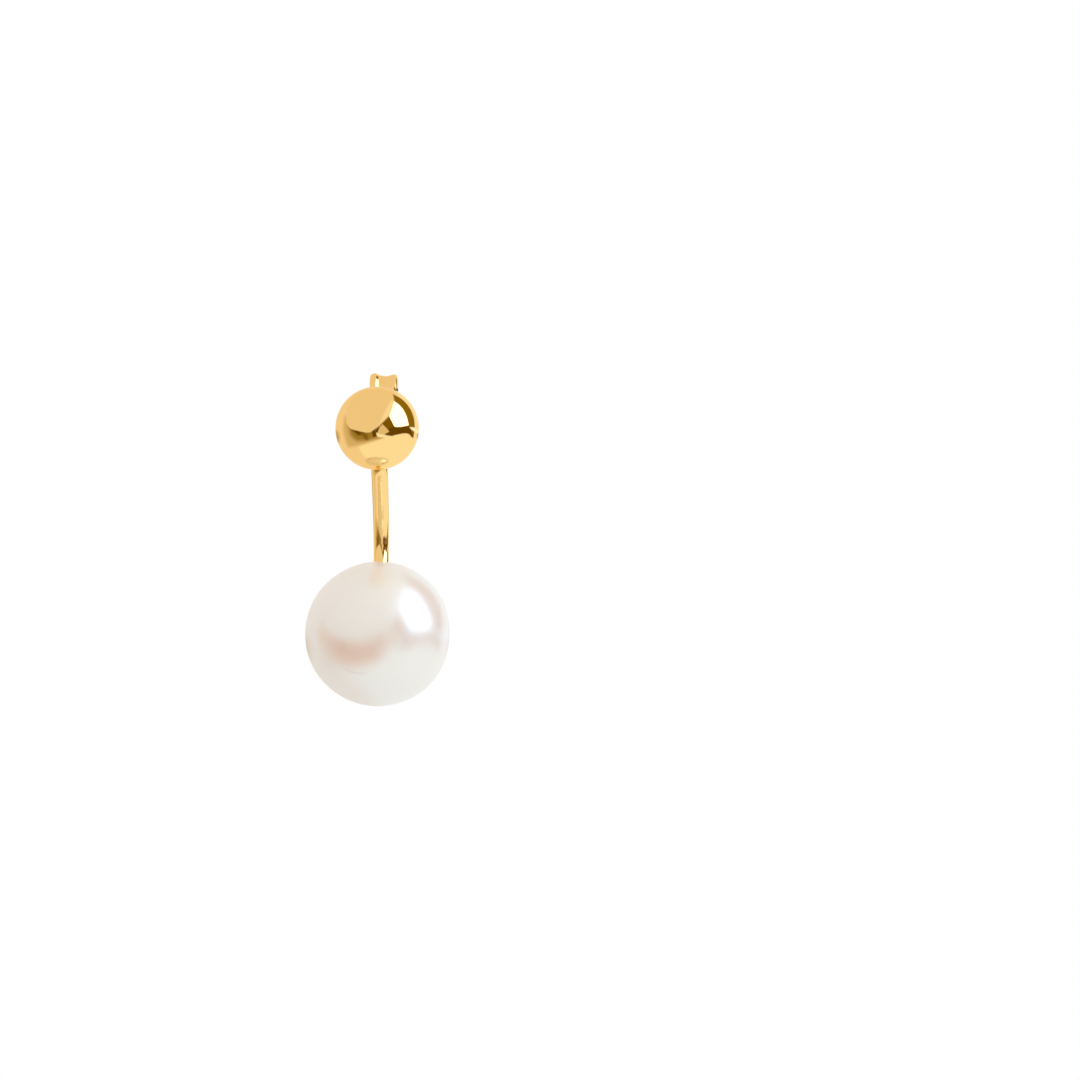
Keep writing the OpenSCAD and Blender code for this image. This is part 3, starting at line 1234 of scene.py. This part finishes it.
@dataclass(kw_only=True)
class PearlBead(SubAssembly):
    """The near-round pearl, half drilled for the peg."""

    view: Viewpoint
    arm: JacketArm
    node: str = "pearl_bead"
    body: str = "jacket"
    slot: str = "nacre"
    rings: int = 96
    rings_cut: int = 3
    hole_r: float = 0.42
    hole_depth: float = 4.22
    mouth_bevel: float = 0.02
    mouth_depth: float = 0.06
    pushes: tuple[Push, ...] = (
        Push(38, 0.07),
        Push(202, 0.035),
        Push(315, 0.025),
        Push(355, -0.045),
        Push(120, -0.05),
        Push(180, -0.17, out=0.13),
    )

    def shape(self) -> Workpiece:
        """Models the pearl with its drilled hole.

        Returns:
            The workpiece.
        """
        low, high = box_in_mm(self.node)
        middle, radius = (low + high) / 2, (high.x - low.x) / 2
        way = self.arm.seat()[1]
        work = Workpiece.from_ball("pearl", middle, radius, -way, self.rings)
        cap = math.pi * self.rings_cut / self.rings
        cap_depth = radius * math.cos(cap)
        work.cut_away(lambda co: -(co - middle).dot(way) > cap_depth)
        work.pick(Part.OPEN_EDGES, lambda co: True)
        mouth, end = -cap_depth, self.hole_depth - radius
        hole = [
            (mouth, radius * math.sin(cap)),
            (mouth + self.mouth_bevel, self.hole_r + self.mouth_bevel),
            (mouth + self.mouth_depth, self.hole_r),
            (end, self.hole_r),
            (end, POINT_R),
        ]
        work.lathe(middle, way, hole)
        work.close_to_point()
        for push in self.pushes:
            angle = math.radians(push.angle)
            sideways = math.cos(angle) * self.view.right + math.sin(angle) * self.view.up
            outward = push.out * sideways + math.sqrt(1 - push.out**2) * self.view.back
            work.push(middle + radius * outward, push.height * outward, push.reach)
        work.leave_bench()
        return work

    def finish(self) -> bpy.types.Material:
        """Gives the pearl its nacre."""
        low, high = box_in_mm(self.node)
        return NacreFinish("nacre", (low + high) / 2).material()


@dataclass(kw_only=True)
class ButterflyNut(SubAssembly):
    """The nut: a round plate of sheet metal whose two strips are rolled into scrolls.

    The strip's groove goes down from its lobe over the knee to the dip and rises to its crest. These
    places count across the strip, from -1 at its left edge to 1 at its right edge.
    """

    node: str = "butterfly_nut"
    body: str = "nut"
    slot: str = "gold"
    bore_r: float = 0.45
    plate_r: float = 1.75
    plate_rings: tuple[float, ...] = (0.58, 0.8, 1.1, 1.4)
    rim_from: float = 1.6
    count: int = 120
    strip_columns: int = 24
    strip_w: float = 1.97
    scroll_r: float = 1.26
    roll_turn: float = 270.0
    roll_steps: int = 72
    curl_r: float = 0.72
    curl_turn: float = 110.0
    curl_steps: int = 30
    sheet: float = 0.24
    groove_depth: float = 0.21
    lobe: float = -0.63
    knee: float = -0.26
    dip: float = 0.2
    crest: float = 0.72
    knee_share: float = 0.75
    low_crest_share: float = 0.4
    high_edge_drop: float = 0.22
    low_edge_drop: float = 0.13
    edge_bevel: float = 0.045

    def groove(self, x: float) -> float:
        """Tells how deep the strip lies under its outer radius.

        Args:
            x: the place across the strip, in millimetres from its middle.

        Returns:
            The depth in millimetres.
        """
        at = 2 * x / self.strip_w
        if at < self.lobe:
            return self.high_edge_drop * rounded_off((self.lobe - at) / (self.lobe + 1))
        if at < self.knee:
            return self.groove_depth * self.knee_share * eased((at - self.lobe) / (self.knee - self.lobe))
        if at < self.dip:
            rest = (1 - self.knee_share) * eased((at - self.knee) / (self.dip - self.knee))
            return self.groove_depth * (self.knee_share + rest)
        rise = eased((at - self.dip) / (self.crest - self.dip))
        edge_drop = self.low_edge_drop * rounded_off((at - self.crest) / (1 - self.crest))
        return self.groove_depth * (1 - (1 - self.low_crest_share) * rise) + edge_drop

    def shape(self) -> Workpiece:
        """Models the upper half of the sheet, then mirrors it and gives it its thickness.

        Returns:
            The workpiece.
        """
        low, high = box_in_mm(self.node)
        front = low.y
        middle_z = high.z - self.scroll_r
        plate = [(front, radius) for radius in (self.bore_r, *self.plate_rings, self.plate_r)]
        work = Workpiece.from_hoop("scroll_nut", front * POST_WAY, self.bore_r, POST_WAY, self.count)
        work.lathe(Vector(), POST_WAY, plate)
        rim_x = self.plate_r * math.sin(math.pi * self.strip_columns / self.count)
        work.pick(
            Part.VERTICES,
            lambda co: co.z > 0 and abs(co.x) < rim_x + NEAR and math.hypot(co.x, co.z) > self.rim_from,
        )
        work.resize((self.strip_w / 2 / rim_x, 1, 0), Vector((0, front, middle_z)))
        work.press(lambda co: co.z > middle_z - NEAR, lambda co: self.groove(co.x) * POST_WAY)
        work.cut_away(lambda co: co.z < 0)
        work.pick(Part.VERTICES, lambda co: co.z > middle_z - NEAR)
        roll_middle = Vector((0, front + self.scroll_r, middle_z))
        curl_middle = roll_middle - Vector((0, 0, self.scroll_r - self.curl_r))
        for steps, turn, middle in (
            (self.roll_steps, self.roll_turn, roll_middle),
            (self.curl_steps, self.curl_turn, curl_middle),
        ):
            bpy.ops.mesh.spin(steps=steps, angle=math.radians(turn), center=middle, axis=ACROSS)
        work.leave_bench()
        work.fit("MIRROR", use_axis=(False, False, True), merge_threshold=NEAR)
        work.fit("SOLIDIFY", thickness=self.sheet, offset=-1.0, use_even_offset=True)
        work.fit("BEVEL", width=self.edge_bevel, segments=3, limit_method="ANGLE")
        return work

    def finish(self) -> bpy.types.Material:
        """Polishes the nut bright."""
        return GoldFinish("bright_gold", Polish.BRIGHT, wave_depth=0.003).material()


def main() -> None:
    """Builds the earring and its studio, and logs each piece's face count."""
    logging.basicConfig(level=logging.INFO, format="%(name)s: %(message)s", stream=sys.stdout)
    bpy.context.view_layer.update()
    view = Viewpoint()
    stud = BallStud()
    Studio(view).build(stud.ball_middle)
    arm = JacketArm()
    for sub_assembly in (stud, arm, PearlBead(view=view, arm=arm), ButterflyNut()):
        sub_assembly.build()


if __name__ == "__main__":
    main()
